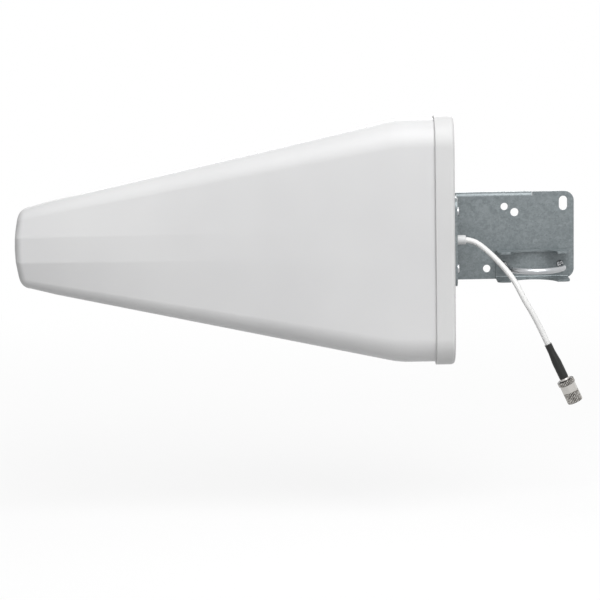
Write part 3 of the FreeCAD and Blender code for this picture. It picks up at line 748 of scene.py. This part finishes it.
flatTurn = -10           # degrees that bring one flat of the plug's nut to the front
easedPieces = {
    "bracket": ("bracketSheet", galvanised, 0.35 * mm),
    "saddle": ("saddleSheet", galvanised, 0.3 * mm),
    "bracket_screws": ("bracketScrews", zinc, 0.12 * mm),
    "bracket_washers": ("bracketWashers", zinc, 0.12 * mm),
    "u_bolt_washers": ("clampWashers", zinc, 0.15 * mm),
    "u_bolt_spring_washers": ("clampSpringWashers", zinc, 0.12 * mm),
    "u_bolt_nuts": ("clampNuts", zinc, 0.15 * mm),
    "cable_gland": ("glandHead", glandWhite, 0.1 * mm),
    "heat_shrink": ("shrinkSleeve", shrinkBlack, 0.15 * mm),
    "plug_body": ("plugShell", nickel, 0.1 * mm),
    "coupling_nut": ("plugNut", nutNickel, 0.12 * mm),
}
made = {}
for node, (name, material, width) in easedPieces.items():
    made[node] = easedCopy(node, name, material, width)
turnAboutAxis(made["coupling_nut"], nutFinish["start"], nutFinish["axis"], math.radians(flatTurn))
print("metal and plug pieces made")


# U-bolt: a round bar bent to a bow, with rolled threads on both legs

clampSet = {
    "barRadius": 3 * mm,
    "coreRadius": 2.62 * mm,
    "legX": 29 * mm,
    "bowY": 1.75 * mm,
    "threadStart": 23 * mm,
    "legEnd": 52.4 * mm,
    "pitch": 1 * mm,
    "chamfer": 0.8 * mm,
    "aroundBar": 24,
    "alongBow": 40,
    "legReach": 4 * mm,            # how far in from a leg's middle its points are looked for
    "mergeDistance": 0.001 * mm,
    "runIn": 0.4 * mm,             # length over which the bar thins to the core, and how far its end narrows
    "ridgeRadius": 0.42 * mm,
    "ridgeStart": 0.6 * mm,
    "ridgeSteps": 20,
    "smoothAngle": 40,
}


def makeClampBow():
    s = clampSet
    deselectAll()
    bpy.ops.mesh.primitive_circle_add(vertices=s["aroundBar"], radius=s["barRadius"],
                                      location=(-s["legX"], s["bowY"], 0), rotation=(math.pi / 2, 0, 0))
    piece = bpy.context.object
    piece.name = "clampBow"
    bpy.ops.object.transform_apply(location=True, rotation=True, scale=True)
    startEdit(piece, "VERT")
    bpy.ops.mesh.select_all(action="SELECT")
    bpy.ops.mesh.spin(steps=s["alongBow"], angle=-math.pi, center=(0, s["bowY"], 0), axis=(0, 0, 1))
    steps = [
        # end of the run, radius there
        (s["threadStart"] - s["runIn"], s["barRadius"]),
        (s["threadStart"], s["coreRadius"]),
        (s["legEnd"] - s["chamfer"], s["coreRadius"]),
        (s["legEnd"], s["coreRadius"] - s["runIn"]),
    ]
    tiny, reach = s["mergeDistance"], s["legReach"]
    for side in (-1, 1):
        y = s["bowY"]
        radius = s["barRadius"]
        for nextY, nextRadius in steps:
            pick(piece, "VERT",
                 lambda vert: near(vert.co.y, y, tiny) and vert.co.x * side > s["legX"] - reach)
            bpy.ops.mesh.extrude_region_move(TRANSFORM_OT_translate={"value": (0, nextY - y, 0)})
            share = nextRadius / radius
            bpy.ops.transform.resize(value=(share, 1, share), center_override=(side * s["legX"], nextY, 0))
            y = nextY
            radius = nextRadius
        bpy.ops.mesh.edge_face_add()
    bpy.ops.mesh.select_all(action="SELECT")
    bpy.ops.mesh.remove_doubles(threshold=tiny)
    bpy.ops.mesh.normals_make_consistent(inside=False)
    endEdit()
    threads = [makeThread(side) for side in (-1, 1)]
    deselectAll()
    for part in threads:
        part.select_set(True)
    piece.select_set(True)
    bpy.context.view_layer.objects.active = piece
    bpy.ops.object.join()
    smooth(piece, s["smoothAngle"])
    standIn(piece, "u_bolt", zinc, slotOf("u_bolt"))
    print("clamp bow made")
    return piece


def makeThread(side):
    s = clampSet
    turns = int((s["legEnd"] - s["chamfer"] - s["threadStart"]) / s["pitch"]) - 1
    deselectAll()
    bpy.ops.mesh.primitive_circle_add(vertices=3, radius=s["ridgeRadius"], fill_type="NGON",
                                      rotation=(0, 0, -math.pi / 2))
    ridge = bpy.context.object
    bpy.ops.object.transform_apply(location=True, rotation=True, scale=True)
    startEdit(ridge, "VERT")
    bpy.ops.mesh.select_all(action="SELECT")
    bpy.ops.transform.translate(value=(s["barRadius"] - s["ridgeRadius"], 0, 0))
    bpy.ops.mesh.delete(type="ONLY_FACE")
    endEdit()
    applyModifier(ridge, "SCREW", axis="Y", screw_offset=s["pitch"], iterations=turns,
                  steps=s["ridgeSteps"], render_steps=s["ridgeSteps"], use_merge_vertices=False)
    startEdit(ridge, "EDGE")
    bpy.ops.mesh.select_non_manifold()
    bpy.ops.mesh.fill()
    bpy.ops.mesh.select_all(action="SELECT")
    bpy.ops.mesh.normals_make_consistent(inside=False)
    bpy.ops.transform.translate(value=(side * s["legX"], s["threadStart"] + s["ridgeStart"], 0))
    endEdit()
    return ridge


made["u_bolt"] = makeClampBow()


# Inner pieces and small trim keep the frame's form

plainFinishes = {
    "seal_rubber": sealBlack,
    "insert_brass": brass,
    "boom_aluminium": aluminium,
    "rod_aluminium": aluminium,
    "spacer_plastic": naturalPlastic,
    "strap_brass": brass,
    "cable_jacket": jacketWhite,
    "gland_plastic": glandWhite,
    "nickel_plate": nickel,
    "insulator_white": whiteInsulator,
    "pin_gold": gold,
    "ring_steel": springSteel,
}
for node, piece in frame["nodes"].items():
    if node not in made and slotOf(node) in plainFinishes:
        dress(piece, plainFinishes[slotOf(node)])


# Cable: one smooth run from the gland to the plug

cableSet = {
    "radius": 2.9 * mm,
    "length": 0.162,
    "route": [(-69.8, 0.0, 30.0), (-64.7, 0.0, 29.2), (-58.4, -0.7, 26.5), (-50.8, -3.0, 20.8),
              (-41.3, -11.6, 12.3), (-30.9, -22.0, 1.6), (-21.7, -30.2, -11.3), (-14.3, -34.5, -27.0),
              (-4.3, -35.5, -43.7), (5.45, -35.5, -64.13), (17.3, -35.5, -89.5)],
    "order": 3,
    "stepsAlong": 16,
    "stepsAround": 8,
}


def makeCable():
    s = cableSet
    curve = bpy.data.curves.new("cableLine", "CURVE")
    curve.dimensions = "3D"
    line = curve.splines.new("NURBS")
    line.points.add(len(s["route"]) - 1)
    for point, spot in zip(line.points, s["route"]):
        point.co = (spot[0] * mm, spot[1] * mm, spot[2] * mm, 1)
    line.order_u = s["order"]
    line.use_endpoint_u = True
    line.resolution_u = s["stepsAlong"]
    curve.bevel_depth = s["radius"]
    curve.bevel_resolution = s["stepsAround"]
    curve.use_fill_caps = True
    piece = bpy.data.objects.new("coaxPigtail", curve)
    bpy.context.scene.collection.objects.link(piece)
    piece.data.materials.append(jacketWhite)
    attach(piece, "antenna")
    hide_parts("cable")
    onCable = [made["heat_shrink"], made["plug_body"], made["coupling_nut"]]
    onCable += [frame["nodes"][n] for n in ("crimp_ferrule", "plug_insulator", "plug_pin", "plug_gasket",
                                            "retaining_ring")]
    print("cable made")


makeCable()


# Studio: pale floor, soft light

studioSet = {
    "floorHeight": -262 * mm,
    "floorMiddle": -0.24,
    "floorSize": 240.0,
    "floorBounce": (0.5, 0.5, 0.5, 1),      # the floor's paint in the light that it throws back
    "floorPaint": (0.9, 0.9, 0.9, 1),       # and as the camera sees it
    "ambient": 0.25,
    "nearWhite": 0.8,              # share of plain white in the floor near the antenna; it grows to 1
    "whitenFrom": 0.7,
    "whitenTo": 1.6,
    "lamps": [
        # name, place, aim, width, power
        ("topSoftBox", (0.15, -1.15, 1.6), (-0.22, 0, 0.03), 1.5, 40.0),
        ("frontSoftBox", (0.55, -2.3, 0.95), (-0.25, 0, 0.03), 1.5, 11.0),
        ("rearSoftBox", (-0.1, 2.35, 0.85), (-0.2, 0, 0.03), 1.5, 27.0),
    ],
}


plainWhite = (1, 1, 1, 1)


def seenDirectly(shade):
    camera = shade.add("ShaderNodeLightPath", output="Is Camera Ray")
    glossy = shade.add("ShaderNodeLightPath", output="Is Glossy Ray")
    through = shade.add("ShaderNodeLightPath", output="Is Transmission Ray")
    return (camera + glossy + through).above(0.5)


def makeStudio():
    s = studioSet
    deselectAll()
    bpy.ops.mesh.primitive_plane_add(size=s["floorSize"], location=(s["floorMiddle"], 0, s["floorHeight"]))
    floor = bpy.context.object
    floor.name = "studioFloor"
    bpy.ops.object.transform_apply(location=True, rotation=True, scale=True)
    shade = Shade("studioFloorPaint")
    camera = shade.add("ShaderNodeLightPath", output="Is Camera Ray")
    paint = shade.blend(camera, s["floorBounce"], s["floorPaint"])
    matt = shade.add("ShaderNodeBsdfDiffuse", {}, {"Color": paint})
    glow = shade.add("ShaderNodeEmission", {}, {"Color": plainWhite, "Strength": 1.0})
    place = shade.add("ShaderNodeTexCoord", output="Object")
    reach = shade.add("ShaderNodeVectorMath", {"operation": "LENGTH"}, {0: place}, output="Value")
    whiteness = shade.spread(reach, s["whitenFrom"], s["whitenTo"], s["nearWhite"], 1.0)
    share = seenDirectly(shade) * whiteness
    body = shade.add("ShaderNodeMixShader", {}, {0: share, 1: matt, 2: glow})
    shade.add("ShaderNodeOutputMaterial", {}, {"Surface": body})
    dress(floor, shade.material)
    world = bpy.data.worlds.new("studioWorld")
    world.use_nodes = True
    bpy.context.scene.world = world
    sky = Shade("sky", world.node_tree)
    ambient = sky.add("ShaderNodeBackground", {}, {"Color": plainWhite, "Strength": s["ambient"]})
    white = sky.add("ShaderNodeBackground", {}, {"Color": plainWhite, "Strength": 1.0})
    body = sky.add("ShaderNodeMixShader", {}, {0: seenDirectly(sky), 1: ambient, 2: white})
    sky.add("ShaderNodeOutputWorld", {}, {"Surface": body})
    for name, place, aim, width, power in s["lamps"]:
        deselectAll()
        turn = (Vector(place) - Vector(aim)).to_track_quat("Z", "Y").to_euler()
        bpy.ops.object.light_add(type="AREA", location=place, rotation=turn)
        lamp = bpy.context.object
        lamp.name = name
        lamp.data.size = width
        lamp.data.energy = power
    print("studio made")


makeStudio()
bpy.context.scene.view_settings.view_transform = "Standard"
